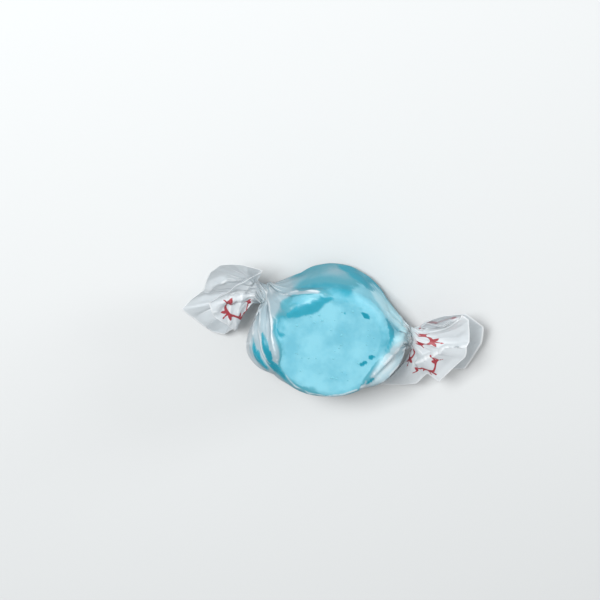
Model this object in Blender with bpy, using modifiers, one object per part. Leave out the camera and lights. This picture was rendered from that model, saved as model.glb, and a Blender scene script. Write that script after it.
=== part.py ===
"""Wrapped taffy: a round pulled-sugar candy in a sheet of waxed paper twisted at both ends.

The twists lie along X and the candy's flat faces look up and down. Lengths are in
millimetres, measured from the middle of the candy; the meshes are made in metres.
"""
import math

import bpy
import numpy as np
from mathutils import Matrix

# Candy: a thick round disc with rounded edges and soft dents.
CANDY_RADIUS = 12.8
CANDY_HALF_HEIGHT = 7.9
CANDY_ROUNDING = 2.2
CANDY_STEPS = 44
DENT_DEPTH = 0.16
DENT_WAVES = 7
DENT_PITCH = 0.42

# Paper: one sheet rolled round the candy, tight in the middle and pleated at the twists.
PAPER_THICKNESS = 0.4
PAPER_CLEARANCE = 0.3
PAPER_LIFT = PAPER_CLEARANCE + PAPER_THICKNESS
BODY_HALF_HEIGHT = CANDY_HALF_HEIGHT + PAPER_LIFT
BODY_HALF_LENGTH = 9.6
SLACK = 0.9
SKIRT_LIFT = 3.2
SKIRT_ANGLE = math.radians(176)
SKIRT_ABOVE = 0.40
SKIRT_BELOW = 0.80
SKIRT_START = 6.0
COLUMNS = 56
PLEATS = 8
PLEAT_DEPTH = 0.9
POUCH_OUT = 3.1
POUCH_ALONG = 6.4

# Twists: where each neck lies, how thin it is and how far the paper turns in it.
LEFT_NECK = (-17.1, 3.0, -3.0)
RIGHT_NECK = (17.3, 1.9, -3.0)
NECK_RADIUS = 2.2
NECK_PLEAT = 0.09
NECK_LENGTH = 2.6
NECK_TWIST = math.radians(70.0)
SHOULDER_TWIST = math.radians(38.0)

# Rows of faces along each stretch of the paper.
BODY_ROWS = 9
SHOULDER_ROWS = 8
NECK_ROWS = 4
FAN_ROWS = 9
SEED = 7

# Free edge of each twisted end: the sheet's corners and the dips between them,
# in the order in which the edge runs round the neck.
LEFT_RIM = (
    (-19.1, 12.8, 7.6), (-22.0, 8.8, 7.0), (-23.8, 6.5, 6.0), (-27.6, 0.9, 4.2),
    (-25.9, -2.7, 2.2), (-23.7, -4.2, 0.8), (-20.4, -6.2, -2.0), (-20.9, -8.3, -4.4),
    (-21.8, -10.0, -5.6), (-24.2, -10.8, -6.8), (-28.0, -9.5, -7.2), (-32.4, -6.8, -6.2),
    (-29.3, 0.5, -2.2), (-29.3, 4.4, 0.8), (-29.1, 7.5, 3.0), (-27.6, 10.2, 4.4), (-22.8, 12.4, 6.2),
)
RIGHT_RIM = (
    (18.3, 8.6, 2.8), (22.0, 9.4, 4.0), (24.6, 13.7, 4.6), (26.8, 12.7, 4.2),
    (28.7, 7.0, 3.4), (29.2, 3.1, 2.4), (26.1, -5.4, 0.4), (23.4, -4.2, -0.6),
    (22.2, -8.8, -2.8), (19.4, -10.8, -4.4), (15.0, -13.0, -6.4), (19.2, -10.1, -7.3),
    (26.2, -6.2, -7.2), (32.3, -3.8, -6.4), (33.5, 3.8, -4.6), (32.2, 8.6, -3.0),
    (26.9, 11.5, -0.6), (22.2, 10.7, 1.2),
)
RIM_SHARPNESS = 0.6


def smooth_noise(angle, seed, count=4):
    """A smooth wave around the tube, between about -1 and 1."""
    rng = np.random.default_rng(seed)
    total = np.zeros_like(angle)
    for order in range(1, count + 1):
        total += rng.uniform(0.4, 1.0) * np.sin(order * angle + rng.uniform(0, 2 * np.pi))
    return total / count


def zigzag(phase):
    """A pleat wave: straight sides, slightly rounded folds, between -1 and 1."""
    return np.arcsin(0.96 * np.sin(phase)) / (np.pi / 2)


def depth_outside(x, y, z):
    """Distance from the surface of the candy, a round disc with rounded edges."""
    wide = np.hypot(x, y) - (CANDY_RADIUS - CANDY_ROUNDING)
    tall = np.abs(z) - (CANDY_HALF_HEIGHT - CANDY_ROUNDING)
    corner = np.hypot(np.maximum(wide, 0.0), np.maximum(tall, 0.0))
    return corner + np.minimum(np.maximum(wide, tall), 0.0) - CANDY_ROUNDING


def skirt(x, angle):
    """How far the left pouch pulls the paper off the candy's edge on its own side."""
    beyond = angle % (2 * np.pi) - SKIRT_ANGLE
    side = np.exp(-(beyond / np.where(beyond < 0.0, SKIRT_ABOVE, SKIRT_BELOW)) ** 2)
    return SKIRT_LIFT * side * np.clip((SKIRT_START - x) / 16.0, 0.0, 1.0) ** 1.3


def body_ring(x, angle):
    """Section of the tight paper round the candy at a distance x from its middle."""
    low = np.zeros_like(angle)
    high = np.full_like(angle, 3.0 * CANDY_RADIUS)
    slack = np.exp(-((np.sin(angle) + 0.15) / 0.42) ** 2) * np.clip(np.cos(angle), 0.0, 1.0)
    lift = PAPER_LIFT + SLACK * slack + skirt(x, angle)
    for _ in range(40):
        reach = 0.5 * (low + high)
        inside = depth_outside(x, reach * np.cos(angle), reach * np.sin(angle)) < lift
        low = np.where(inside, reach, low)
        high = np.where(inside, high, reach)
    height = np.maximum(reach * np.sin(angle), -BODY_HALF_HEIGHT)
    return np.stack([np.full_like(angle, x), reach * np.cos(angle), height], axis=1)


def neck_ring(centre, angle, slide, side):
    """Pleated ring of the twisted neck; slide runs outward from the neck's inner end."""
    turn = side * (SHOULDER_TWIST + slide * NECK_TWIST)
    swell = 1.0 + 0.30 * (2.0 * slide - 1.0) ** 2
    reach = NECK_RADIUS * swell * (1.0 + NECK_PLEAT * zigzag(PLEATS * angle))
    x = centre[0] + side * NECK_LENGTH * (slide - 0.5)
    y = centre[1] + reach * np.cos(angle + turn)
    z = centre[2] + reach * np.sin(angle + turn)
    return np.stack([np.full_like(angle, x), y, z], axis=1)


def between(start, middle, end, slide):
    """A point of the curve that leaves start toward middle and arrives at end."""
    return (1 - slide) ** 2 * start + 2 * slide * (1 - slide) * middle + slide ** 2 * end


def off_candy(place):
    """Points closer to the candy than the paper's lift, moved straight out to it."""
    step = 0.01
    depth = depth_outside(*place.T)
    slope = np.stack([
        (depth_outside(*(place + step * axis).T) - depth) / step for axis in np.eye(3)], axis=1)
    slope /= np.maximum(np.linalg.norm(slope, axis=1), 0.1)[:, None]
    return place + slope * np.maximum(PAPER_LIFT - depth, 0.0)[:, None]


def shoulder_rings(side, centre, angle):
    """Rings from the tight body to the neck, with folds that deepen toward the twist."""
    start = body_ring(side * BODY_HALF_LENGTH, angle)
    inner = body_ring(side * (BODY_HALF_LENGTH - 0.2), angle)
    along = start - inner
    along /= np.linalg.norm(along, axis=1)[:, None]
    end = neck_ring(centre, angle, 0.0, side)
    away = np.stack([np.zeros_like(angle), np.cos(angle), np.sin(angle)], axis=1)
    pouch = np.exp(-((angle - math.radians(186)) / 0.95) ** 2) * (1.0 if side < 0 else 0.4)
    loose = 0.9 + 0.5 * smooth_noise(angle, SEED + 3 + side)
    middle = start + along * 4.6 + away * (loose + POUCH_OUT * pouch)[:, None]
    middle[:, 0] += side * POUCH_ALONG * pouch
    middle[:, 2] = np.maximum(middle[:, 2], -BODY_HALF_HEIGHT + 0.3)
    flat_below = 1.0 - np.clip(-1.2 * np.sin(angle), 0.0, 1.0)
    rings = []
    for row in range(1, SHOULDER_ROWS):
        slide = row / SHOULDER_ROWS
        place = between(start, middle, end, slide)
        spoke = place - np.array([0.0, centre[1], centre[2]]) * slide
        spoke[:, 0] = 0.0
        spoke /= np.linalg.norm(spoke, axis=1)[:, None]
        wave = zigzag(PLEATS * angle)
        pleat = PLEAT_DEPTH * 2.2 * slide ** 1.2 * (1 - slide) * flat_below * (wave - 0.2)
        gather = 0.5 * NECK_RADIUS * NECK_PLEAT * slide ** 4 * wave
        place = off_candy(place + spoke * (pleat + gather)[:, None])
        place[:, 2] = np.maximum(place[:, 2], -BODY_HALF_HEIGHT + 0.05)
        rings.append(place)
    return rings


def rim_loop(corners, offset):
    """The free edge as a closed curve with fairly sharp corners, shared out between the columns."""
    points = np.array(corners, dtype=float)
    count = len(points)
    dense = []
    for index in range(count):
        before, here = points[index - 1], points[index]
        after, later = points[(index + 1) % count], points[(index + 2) % count]
        for step in range(16):
            t = step / 16
            curve = 0.5 * (
                2 * here + (after - before) * t
                + (2 * before - 5 * here + 4 * after - later) * t ** 2
                + (3 * here - before - 3 * after + later) * t ** 3)
            straight = here + (after - here) * t
            dense.append(curve * (1 - RIM_SHARPNESS) + straight * RIM_SHARPNESS)
    dense = np.array(dense + [dense[0]])
    length = np.concatenate([[0.0], np.cumsum(np.linalg.norm(np.diff(dense, axis=0), axis=1))])
    wanted = ((np.arange(COLUMNS) / COLUMNS + offset) % 1.0) * length[-1]
    return np.stack([np.interp(wanted, length, dense[:, axis]) for axis in range(3)], axis=1)


def fan_rings(side, centre, angle, corners):
    """Rings from the neck's outer end to the free edge of the sheet."""
    turn = side * (SHOULDER_TWIST + NECK_TWIST)
    start = neck_ring(centre, angle, 1.0, side)
    rim = rim_loop(corners, turn / (2 * np.pi))
    hub = start.mean(axis=0)
    reach = np.linalg.norm(rim - hub, axis=1)
    outward = start - hub
    push = 0.30 * reach * np.clip(side * (rim[:, 0] - hub[0]) / 7.0, 0.12, 1.0)
    swing = np.exp(-((np.cos(angle + turn) + 1.0) / 0.45) ** 2)
    lead = hub + np.array([side, 0.0, 0.0]) * push[:, None] + 1.1 * outward + 0.22 * (rim - hub)
    lead += swing[:, None] * np.array([0.0, -1.6, 0.2] if side < 0 else [0.0, -0.8, 0.6])
    rings = []
    for row in range(1, FAN_ROWS + 1):
        rings.append(between(start, lead, rim, (row / FAN_ROWS) ** 0.9))
    return rings


def wrapper_rings():
    """All rings of the paper tube, from the left free edge to the right free edge."""
    angle = np.arange(COLUMNS) * 2 * np.pi / COLUMNS
    halves = []
    for side, centre, corners in ((-1, LEFT_NECK, LEFT_RIM), (1, RIGHT_NECK, RIGHT_RIM)):
        rings = shoulder_rings(side, centre, angle)
        for row in range(NECK_ROWS):
            slide = row / (NECK_ROWS - 1)
            rings.append(neck_ring(centre, angle, slide, side))
        halves.append(rings + fan_rings(side, centre, angle, corners))
    body = [body_ring(x, angle) for x in np.linspace(-BODY_HALF_LENGTH, BODY_HALF_LENGTH, BODY_ROWS)]
    return halves[0][::-1] + body + halves[1]


def make_material(name, colour, roughness):
    material = bpy.data.materials.new(name)
    material.use_nodes = True
    shader = material.node_tree.nodes["Principled BSDF"]
    shader.inputs["Base Color"].default_value = (*colour, 1.0)
    shader.inputs["Roughness"].default_value = roughness
    material.diffuse_color = (*colour, 1.0)
    return material


def add_object(name, mesh, material):
    thing = bpy.data.objects.new(name, mesh)
    bpy.context.scene.collection.objects.link(thing)
    mesh.materials.append(material)
    return thing


def make_candy():
    """Round candy with rounded edges: one profile turned about the upright axis."""
    flat = CANDY_RADIUS - CANDY_ROUNDING
    side = CANDY_HALF_HEIGHT - CANDY_ROUNDING
    profile = [(0.0, -CANDY_HALF_HEIGHT), (flat * 0.55, -CANDY_HALF_HEIGHT)]
    for step in range(5):
        bend = -math.pi / 2 + step * math.pi / 8
        profile.append((flat + CANDY_ROUNDING * math.cos(bend), -side + CANDY_ROUNDING * math.sin(bend)))
    profile.append((CANDY_RADIUS, 0.0))
    for step in range(5):
        bend = step * math.pi / 8
        profile.append((flat + CANDY_ROUNDING * math.cos(bend), side + CANDY_ROUNDING * math.sin(bend)))
    profile += [(flat * 0.55, CANDY_HALF_HEIGHT), (0.0, CANDY_HALF_HEIGHT)]
    mesh = bpy.data.meshes.new("taffy")
    mesh.from_pydata([(r / 1000, 0.0, z / 1000) for r, z in profile],
                     [(i, i + 1) for i in range(len(profile) - 1)], [])
    candy = add_object("taffy", mesh, make_material("taffy_blue", (0.26, 0.72, 0.84), 0.4))
    screw = candy.modifiers.new("turn", "SCREW")
    screw.axis = "Z"
    screw.steps = screw.render_steps = CANDY_STEPS
    screw.use_merge_vertices = True
    screw.merge_threshold = 0.00005
    screw.use_normal_calculate = True
    bpy.context.view_layer.update()
    shaped = bpy.data.meshes.new_from_object(candy.evaluated_get(bpy.context.evaluated_depsgraph_get()))
    candy.modifiers.clear()
    candy.data = shaped
    shaped.name = "taffy"
    rng = np.random.default_rng(SEED)
    waves = rng.uniform(-DENT_PITCH, DENT_PITCH, (DENT_WAVES, 3))
    phases = rng.uniform(0.0, 2 * np.pi, DENT_WAVES)
    place = np.empty(len(shaped.vertices) * 3)
    shaped.vertices.foreach_get("co", place)
    place = place.reshape(-1, 3) * 1000
    dent = sum(np.sin(place @ wave + phase) for wave, phase in zip(waves, phases)) / DENT_WAVES
    place *= 1.0 - (DENT_DEPTH * (1.0 + dent) / CANDY_RADIUS)[:, None]
    place /= 1000
    shaped.vertices.foreach_set("co", place.ravel())
    shaped.update()
    return candy


def make_wrapper(rings):
    """Waxed paper: one open-ended tube lofted through all rings, then given thickness."""
    places = np.concatenate(rings) / 1000
    faces = []
    for row in range(len(rings) - 1):
        for column in range(COLUMNS):
            after = (column + 1) % COLUMNS
            low, high = row * COLUMNS, (row + 1) * COLUMNS
            faces.append((low + column, low + after, high + after, high + column))
    mesh = bpy.data.meshes.new("wrapper")
    mesh.from_pydata(places.tolist(), [], faces)
    wrapper = add_object("wrapper", mesh, make_material("waxed_paper", (0.78, 0.86, 0.88), 0.45))
    solid = wrapper.modifiers.new("paper", "SOLIDIFY")
    solid.thickness = PAPER_THICKNESS / 1000
    solid.offset = -1.0
    solid.use_even_offset = False
    group = wrapper.vertex_groups.new(name="thickness")
    for index in range(len(rings)):
        middle = rings[index].mean(axis=0)
        radius = float(np.linalg.norm(rings[index] - middle, axis=1).mean())
        weight = min(1.0, max(0.45, (radius - 1.0) / 5.0))
        group.add(list(range(index * COLUMNS, (index + 1) * COLUMNS)), weight, "REPLACE")
    solid.vertex_group = "thickness"
    return wrapper


def main():
    for thing in list(bpy.data.objects):
        bpy.data.objects.remove(thing, do_unlink=True)
    candy = make_candy()
    wrapper = make_wrapper(wrapper_rings())
    bpy.context.view_layer.update()
    solid = wrapper.evaluated_get(bpy.context.evaluated_depsgraph_get())
    corners = np.array([vertex.co[:] for vertex in solid.data.vertices])
    low, high = corners.min(axis=0), corners.max(axis=0)
    shift = Matrix.Translation((-(low[0] + high[0]) / 2, -(low[1] + high[1]) / 2, -low[2]))
    candy.data.transform(shift)
    wrapper.data.transform(shift)


main()
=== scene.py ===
# %% [markdown]
# A salt-water taffy is a short round of pulled sugar rolled in a sheet of waxed paper. Both ends of
# the sheet are twisted shut, and past each twist the paper opens again into a ruffled fan.
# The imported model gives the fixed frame: where the candy lies and how large the whole piece is.
# Every length below is in millimetres from the middle of the candy, and MM turns it into metres.

# %% The frame and the units
import math

import bpy
import numpy as np
from mathutils import Matrix, Vector
from mathutils.bvhtree import BVHTree
from mathutils.geometry import delaunay_2d_cdt


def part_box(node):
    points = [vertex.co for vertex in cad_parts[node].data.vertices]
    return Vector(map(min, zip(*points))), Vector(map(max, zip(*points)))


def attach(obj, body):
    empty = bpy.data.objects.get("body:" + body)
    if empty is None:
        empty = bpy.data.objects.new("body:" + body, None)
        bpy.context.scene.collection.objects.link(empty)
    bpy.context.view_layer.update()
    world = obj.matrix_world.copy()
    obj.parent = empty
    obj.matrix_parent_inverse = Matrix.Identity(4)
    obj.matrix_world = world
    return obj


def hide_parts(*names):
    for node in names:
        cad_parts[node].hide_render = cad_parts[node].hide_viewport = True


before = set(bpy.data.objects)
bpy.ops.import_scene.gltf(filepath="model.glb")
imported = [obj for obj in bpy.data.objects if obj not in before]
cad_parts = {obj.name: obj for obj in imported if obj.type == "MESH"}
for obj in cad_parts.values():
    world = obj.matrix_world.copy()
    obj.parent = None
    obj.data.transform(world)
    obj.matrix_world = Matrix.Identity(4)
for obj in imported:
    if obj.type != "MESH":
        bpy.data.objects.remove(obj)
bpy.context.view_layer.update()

MM = 0.001
SEED = 7
candy_low, candy_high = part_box("taffy")
MIDDLE = np.array((candy_low + candy_high) / 2)
print("candy middle, mm:", (MIDDLE / MM).round(2))

# %% [markdown]
# The camera comes first, because the folds of the paper are laid out as they show from here. It
# looks down on the candy's flat face, 25 degrees off the upright, and the line of the two twists
# is turned by 16 degrees in the picture.

# %% The camera's directions
TILT = math.radians(25)
TWIST_LINE = math.radians(16)

to_right = np.array([math.cos(TWIST_LINE), math.sin(TWIST_LINE), 0.0])
level_up = np.array([-math.sin(TWIST_LINE), math.cos(TWIST_LINE), 0.0])
upright = np.array([0.0, 0.0, 1.0])
to_top = math.cos(TILT) * level_up - math.sin(TILT) * upright
to_camera = math.sin(TILT) * level_up + math.cos(TILT) * upright
print("towards the camera:", to_camera.round(3))

# %% [markdown]
# A long lens from far away keeps the round face round. The picture is 600 pixels wide, 4.6 pixels
# show one millimetre, and the candy sits right of the picture's middle and below it.

# %% Camera
PICTURE_PIXELS = 600
PIXELS_PER_MM = 4.6
CANDY_PIXELS_RIGHT = 32
CANDY_PIXELS_BELOW = 30.6
LENS = 100.0
SENSOR = 36.0

aside = -to_right * CANDY_PIXELS_RIGHT / PIXELS_PER_MM + to_top * CANDY_PIXELS_BELOW / PIXELS_PER_MM
distance = PICTURE_PIXELS / PIXELS_PER_MM * MM * LENS / SENSOR
eye = MIDDLE + aside * MM + to_camera * distance
axes = (to_right, to_top, to_camera, eye)

camera = bpy.data.objects.new("camera", bpy.data.cameras.new("camera"))
camera.data.lens = LENS
camera.data.sensor_width = SENSOR
camera.data.clip_start = 10 * MM
camera.matrix_world = Matrix([[axis[i] for axis in axes] for i in range(3)] + [[0, 0, 0, 1]])
bpy.context.scene.collection.objects.link(camera)
bpy.context.scene.camera = camera
print("camera distance, mm:", round(distance / MM, 1))

# %% [markdown]
# The candy lies on a plain pale floor, which shows its blue and the white paper as they are. One
# large square is enough for it. Two small helpers make a material and put a mesh in the scene, and
# everything below uses them.

# %% Floor
FLOOR_HALF = 1500.0
FLOOR_COLOUR = (0.50, 0.515, 0.52)


def principled(name, colour, roughness):
    """A material with its node tree and its Principled shader."""
    material = bpy.data.materials.new(name)
    material.use_nodes = True
    shader = material.node_tree.nodes["Principled BSDF"]
    shader.inputs["Base Color"].default_value = (*colour, 1.0)
    shader.inputs["Roughness"].default_value = roughness
    return material, material.node_tree, shader


def add_object(name, mesh):
    thing = bpy.data.objects.new(name, mesh)
    bpy.context.scene.collection.objects.link(thing)
    return thing


floor_mesh = bpy.data.meshes.new("floor")
corner_signs = ((-1, -1), (1, -1), (1, 1), (-1, 1))
floor_corners = [(x * FLOOR_HALF * MM, y * FLOOR_HALF * MM, 0.0) for x, y in corner_signs]
floor_mesh.from_pydata(floor_corners, [], [(0, 1, 2, 3)])
floor_mesh.materials.append(principled("floor_paper", FLOOR_COLOUR, 0.9)[0])
floor = add_object("floor", floor_mesh)
print("floor width, mm:", 2 * FLOOR_HALF)

# %% [markdown]
# The light is that of a plain studio: a soft even sky, one wide light near the camera and a weaker
# one from the right. A sun lamp would be simpler, but it draws hard shadows. Broad light shows waxed
# paper as soft flat facets with thin shadows under the fans, and the weak light keeps the right fan
# from going grey.

# %% Light
SKY_STRENGTH = 0.58
LAMP_SIZE = 180.0
LAMP_DISTANCE = 620.0
LAMPS = (
    ("soft_light", to_camera + 0.10 * to_top - 0.32 * to_right, 4.8),
    ("fill_light", 0.5 * to_camera + 0.35 * to_top + to_right, 1.7),
)

world = bpy.data.worlds.new("studio")
world.use_nodes = True
world.node_tree.nodes["Background"].inputs["Color"].default_value = (1.0, 1.0, 1.0, 1.0)
world.node_tree.nodes["Background"].inputs["Strength"].default_value = SKY_STRENGTH
bpy.context.scene.world = world
bpy.context.scene.view_settings.view_transform = "Standard"

for name, direction, power in LAMPS:
    lamp = bpy.data.lights.new(name, "AREA")
    lamp.energy = power
    lamp.size = LAMP_SIZE * MM
    direction = Vector(direction).normalized()
    thing = add_object(name, lamp)
    thing.location = Vector(MIDDLE) + direction * LAMP_DISTANCE * MM
    thing.rotation_euler = direction.to_track_quat("Z", "Y").to_euler()
print("lights:", len(LAMPS))

# %% [markdown]
# Pulled sugar is full of tiny air bubbles, which make it opaque, pale and softly waxy. Its light
# blue isn't even: pulling leaves cloudy streaks. A picture wrapped round it would have a seam, so
# the colour comes from a cloudy noise in the candy's own coordinates. A finer noise roughens it,
# and a little light scatters under the surface.

# %% Candy material
CANDY_PALE = (0.24, 0.61, 0.72)
CANDY_DEEP = (0.06, 0.44, 0.58)
CANDY_ROUGHNESS = 0.42
SCATTER_SHARE = 0.25
SCATTER_DEPTH = 1.5


def node(tree, kind, **values):
    """A new node; each value goes to a setting of that name, or else to the socket of that name."""
    made = tree.nodes.new(kind)
    for name, value in values.items():
        if hasattr(made, name):
            setattr(made, name, value)
        else:
            made.inputs[name.replace("_", " ")].default_value = value
    return made


def candy_material():
    material, tree, shader = principled("pulled_sugar", CANDY_PALE, CANDY_ROUGHNESS)
    shader.inputs["Subsurface Weight"].default_value = SCATTER_SHARE
    shader.inputs["Subsurface Radius"].default_value = (0.4, 0.9, 1.0)
    shader.inputs["Subsurface Scale"].default_value = SCATTER_DEPTH * MM
    place = node(tree, "ShaderNodeTexCoord")
    cloud = node(tree, "ShaderNodeTexNoise", Scale=160.0, Detail=5.0, Roughness=0.6)
    ramp = node(tree, "ShaderNodeValToRGB")
    ramp.color_ramp.elements[0].position = 0.30
    ramp.color_ramp.elements[0].color = (*CANDY_DEEP, 1.0)
    ramp.color_ramp.elements[1].position = 0.52
    ramp.color_ramp.elements[1].color = (*CANDY_PALE, 1.0)
    bump = node(tree, "ShaderNodeBump", Strength=0.25, Distance=0.1 * MM)
    grain = node(tree, "ShaderNodeTexNoise", Scale=900.0, Detail=3.0)
    tree.links.new(place.outputs["Object"], cloud.inputs["Vector"])
    tree.links.new(place.outputs["Object"], grain.inputs["Vector"])
    tree.links.new(cloud.outputs["Fac"], ramp.inputs["Fac"])
    tree.links.new(ramp.outputs["Color"], shader.inputs["Base Color"])
    tree.links.new(grain.outputs["Fac"], bump.inputs["Height"])
    tree.links.new(bump.outputs["Normal"], shader.inputs["Normal"])
    return material


pulled_sugar = candy_material()
print("candy finish:", pulled_sugar.name)

# %% [markdown]
# The candy is a thick disc whose edge has slumped round. A real one is cut from a rope and pressed
# by the wrapping, so its faces are nearly flat and carry broad soft dents. A turned profile would
# do too, but that form follows a rule, so Geometry Nodes make it: every point of a plain cylinder
# that lies past the rounding's centre line is pulled onto the rounding.

# %% Rounding rule as nodes
TINY = 1e-7


def maths(tree, operation, first, second=0.0):
    """A Math node; each of the two values is a number or another node's output."""
    step = node(tree, "ShaderNodeMath", operation=operation)
    for socket, value in zip(step.inputs, (first, second)):
        if isinstance(value, float):
            socket.default_value = value
        else:
            tree.links.new(value, socket)
    return step.outputs[0]


def hypotenuse(tree, first, second):
    squares = [maths(tree, "MULTIPLY", side, side) for side in (first, second)]
    return maths(tree, "SQRT", maths(tree, "ADD", *squares))


def rounded_place(tree, sizes):
    """Where a point of the cylinder lies once its edges are rounded."""
    split = node(tree, "ShaderNodeSeparateXYZ")
    tree.links.new(node(tree, "GeometryNodeInputPosition").outputs[0], split.inputs[0])
    x, y, z = split.outputs
    reach = maths(tree, "MAXIMUM", hypotenuse(tree, x, y), TINY)
    height = maths(tree, "ABSOLUTE", z)
    flat = maths(tree, "SUBTRACT", sizes["Radius"], sizes["Rounding"])
    wall = maths(tree, "SUBTRACT", sizes["Half Height"], sizes["Rounding"])
    wide = maths(tree, "MAXIMUM", maths(tree, "SUBTRACT", reach, flat), 0.0)
    tall = maths(tree, "MAXIMUM", maths(tree, "SUBTRACT", height, wall), 0.0)
    corner = maths(tree, "MAXIMUM", hypotenuse(tree, wide, tall), TINY)
    pull = maths(tree, "SUBTRACT", maths(tree, "DIVIDE", sizes["Rounding"], corner), 1.0)
    new_reach = maths(tree, "ADD", reach, maths(tree, "MULTIPLY", wide, pull))
    new_height = maths(tree, "ADD", height, maths(tree, "MULTIPLY", tall, pull))
    shrink = maths(tree, "DIVIDE", new_reach, reach)
    joined = node(tree, "ShaderNodeCombineXYZ")
    tree.links.new(maths(tree, "MULTIPLY", x, shrink), joined.inputs[0])
    tree.links.new(maths(tree, "MULTIPLY", y, shrink), joined.inputs[1])
    tree.links.new(maths(tree, "MULTIPLY", maths(tree, "SIGN", z), new_height), joined.inputs[2])
    return joined.outputs[0]


# %% [markdown]
# The whole tree makes the cylinder, moves its points by that rule and presses slow dents in with a
# seeded noise. Its sizes are named inputs, so the same tree could make a thinner or a wider candy.
# Realize Instances and Set Material end it, which leaves a plain mesh with its finish on.

# %% Candy tree
CANDY_SIDES = 160
CANDY_ROWS = 40
DENT_SCALE = 95.0


def vector_maths(tree, operation, first, second):
    step = node(tree, "ShaderNodeVectorMath", operation=operation)
    tree.links.new(first, step.inputs[0])
    tree.links.new(second, step.inputs["Scale"] if operation == "SCALE" else step.inputs[1])
    return step.outputs[0]


def new_tree(name, inputs):
    """An empty node tree with named inputs and one geometry output."""
    tree = bpy.data.node_groups.new(name, "GeometryNodeTree")
    for title, kind in inputs:
        tree.interface.new_socket(title, in_out="INPUT", socket_type="NodeSocket" + kind)
    tree.interface.new_socket("Geometry", in_out="OUTPUT", socket_type="NodeSocketGeometry")
    return tree, tree.nodes.new("NodeGroupInput").outputs


def finish_tree(tree, geometry, sizes, *steps):
    """Geometry passed through the steps, made real, given its material and sent to the output."""
    coat = node(tree, "GeometryNodeSetMaterial")
    tree.links.new(sizes["Material"], coat.inputs["Material"])
    for step in (*steps, node(tree, "GeometryNodeRealizeInstances"), coat):
        tree.links.new(geometry, step.inputs["Geometry"])
        geometry = step.outputs["Geometry"]
    tree.links.new(geometry, tree.nodes.new("NodeGroupOutput").inputs["Geometry"])


def candy_tree():
    tree, sizes = new_tree("pulled_round", (
        ("Radius", "Float"), ("Half Height", "Float"), ("Rounding", "Float"), ("Dent Depth", "Float"),
        ("Seed", "Float"), ("Middle", "Vector"), ("Material", "Material")))
    cylinder = node(
        tree, "GeometryNodeMeshCylinder", fill_type="TRIANGLE_FAN", Vertices=CANDY_SIDES,
        Side_Segments=CANDY_ROWS, Fill_Segments=CANDY_ROWS)
    tree.links.new(sizes["Radius"], cylinder.inputs["Radius"])
    tree.links.new(maths(tree, "MULTIPLY", sizes["Half Height"], 2.0), cylinder.inputs["Depth"])
    dents = node(tree, "ShaderNodeTexNoise", noise_dimensions="4D", Scale=DENT_SCALE, Detail=1.0)
    tree.links.new(sizes["Seed"], dents.inputs["W"])
    depth = maths(tree, "MULTIPLY", dents.outputs[0], sizes["Dent Depth"])
    keep = maths(tree, "SUBTRACT", 1.0, maths(tree, "DIVIDE", depth, sizes["Radius"]))
    place = vector_maths(tree, "SCALE", rounded_place(tree, sizes), keep)
    move = node(tree, "GeometryNodeSetPosition")
    tree.links.new(vector_maths(tree, "ADD", place, sizes["Middle"]), move.inputs["Position"])
    shade = node(tree, "GeometryNodeSetShadeSmooth")
    finish_tree(tree, cylinder.outputs["Mesh"], sizes, move, shade)
    return tree


# %% [markdown]
# The tree runs as a modifier on an empty mesh. A modifier's inputs go by their sockets'
# identifiers, not by their names. The shaped mesh is then read back and the modifier taken off, so
# the candy is a plain mesh whose place is in its points.

# %% Candy shape
CANDY_RADIUS = 12.8
CANDY_HALF_HEIGHT = 7.9
CANDY_ROUNDING = 2.2
DENT_DEPTH = 0.20


def add_nodes(thing, tree, values):
    """A nodes modifier on the thing, its inputs set by their sockets' identifiers."""
    modifier = thing.modifiers.new(tree.name, "NODES")
    modifier.node_group = tree
    for item in tree.interface.items_tree:
        if item.name in values and item.in_out == "INPUT":
            modifier[item.identifier] = values[item.name]


def plain_mesh(thing):
    """The object's mesh with its modifiers in it and none left on it."""
    bpy.context.view_layer.update()
    graph = bpy.context.evaluated_depsgraph_get()
    shaped = bpy.data.meshes.new_from_object(thing.evaluated_get(graph))
    thing.modifiers.clear()
    thing.data = shaped
    return shaped


candy = add_object("candy", bpy.data.meshes.new("candy"))
add_nodes(candy, candy_tree(), {
    "Radius": CANDY_RADIUS * MM, "Half Height": CANDY_HALF_HEIGHT * MM, "Rounding": CANDY_ROUNDING * MM,
    "Dent Depth": DENT_DEPTH * MM, "Seed": float(SEED), "Middle": MIDDLE.tolist(),
    "Material": pulled_sugar})
plain_mesh(candy)
print("candy faces:", len(candy.data.polygons), "size, mm:", [round(s / MM, 2) for s in candy.dimensions])

# %% [markdown]
# The paper is one sheet rolled into a tube. It is modelled as rings that run from one free edge to
# the other, each with the same number of columns, so every column is a line of the real sheet from
# end to end. The long edges overlap by a few millimetres under the candy, as they do on a real one.
# A cloth simulation could wrap it too, but its folds wouldn't fall where the real ones are.

# %% The sheet's columns
COLUMNS = 250
OVERLAP = 0.07
SEAM_ANGLE = math.radians(262)

share = np.linspace(0.0, 1.0 + OVERLAP, COLUMNS)
even_angle = SEAM_ANGLE + 2 * np.pi * share


def outside_candy(x, y, z):
    """Distance from the smooth form of the candy, a round disc with rounded edges."""
    wide = np.hypot(x, y) - (CANDY_RADIUS - CANDY_ROUNDING)
    tall = np.abs(z) - (CANDY_HALF_HEIGHT - CANDY_ROUNDING)
    corner = np.hypot(np.maximum(wide, 0.0), np.maximum(tall, 0.0))
    return corner + np.minimum(np.maximum(wide, tall), 0.0) - CANDY_ROUNDING


print("from the middle to the nearest face, mm:", -outside_candy(0.0, 0.0, 0.0))

# %% [markdown]
# Between the twists the paper is pulled tight, so its section is the candy's outline a hair further
# out. Two places are looser: the side wall at the top of the picture, and a skirt on the left where
# the pouch pulls the paper off the candy's edge. The distance from the candy is easy to measure but
# hard to solve for, so each point is found by halving an interval until its distance is right.

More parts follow.
